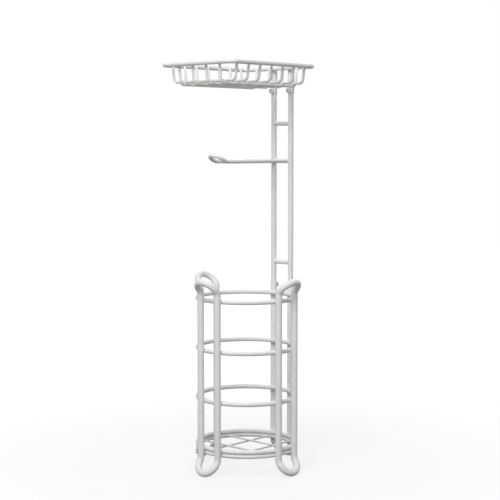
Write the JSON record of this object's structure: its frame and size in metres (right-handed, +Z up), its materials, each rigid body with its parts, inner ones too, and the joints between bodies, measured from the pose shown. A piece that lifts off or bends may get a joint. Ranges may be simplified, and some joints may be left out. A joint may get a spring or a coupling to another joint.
{
  "type": "toilet paper holder with shelf",
  "caption": "Free-standing white wire stand: a round cage of hoops on looped feet for spare rolls, tube uprights with a hairpin roll arm, and a wire basket shelf on top.",
  "frame": {"origin": "on the floor, on the axis of the round cage", "axes": "+Z up; the uprights stand at the back (+Y) and the roll arm points to the front (-Y); +X is to the right seen from the front"},
  "size_m": [0.2018, 0.2093, 0.6155],
  "materials": {
    "powder_coat_white": "satin",
    "zinc_plated_screw": "satin"
  },
  "bodies": {
    "base_frame": {"leg_front": "powder_coat_white", "leg_right": "powder_coat_white", "leg_back": "powder_coat_white", "leg_left": "powder_coat_white", "ring_top": "powder_coat_white", "ring_upper": "powder_coat_white", "ring_lower": "powder_coat_white", "ring_bottom": "powder_coat_white", "base_ring": "powder_coat_white", "base_cross_wire_1": "powder_coat_white", "base_cross_wire_2": "powder_coat_white", "base_cross_wire_3": "powder_coat_white", "base_cross_wire_4": "powder_coat_white", "leg_clamp_nuts": "powder_coat_white", "leg_clamp_screws": "zinc_plated_screw"},
    "upright_frame": {"upright_left": "powder_coat_white", "upright_right": "powder_coat_white", "crossbar_lower": "powder_coat_white", "crossbar_arm": "powder_coat_white", "crossbar_upper": "powder_coat_white", "roll_arm": "powder_coat_white"},
    "shelf": {"shelf_rim": "powder_coat_white", "shelf_cross_wire_1": "powder_coat_white", "shelf_cross_wire_2": "powder_coat_white", "shelf_cross_wire_3": "powder_coat_white", "shelf_cross_wire_4": "powder_coat_white", "shelf_cross_wire_5": "powder_coat_white", "shelf_cross_wire_6": "powder_coat_white", "shelf_cross_wire_7": "powder_coat_white", "shelf_long_wire_1": "powder_coat_white", "shelf_long_wire_2": "powder_coat_white", "shelf_long_wire_3": "powder_coat_white", "shelf_long_wire_4": "powder_coat_white", "shelf_socket_left": "powder_coat_white", "shelf_socket_right": "powder_coat_white", "shelf_clamp_nuts": "powder_coat_white", "shelf_clamp_screws": "zinc_plated_screw"}
  },
  "joints": [
    {"name": "upright_lift", "type": "slide", "parent": "base_frame", "child": "upright_frame", "axis": [0, 0, 1], "range_m": [0, 0.038]},
    {"name": "shelf_lift", "type": "slide", "parent": "upright_frame", "child": "shelf", "axis": [0, 0, 1], "range_m": [0, 0.033]}
  ]
}
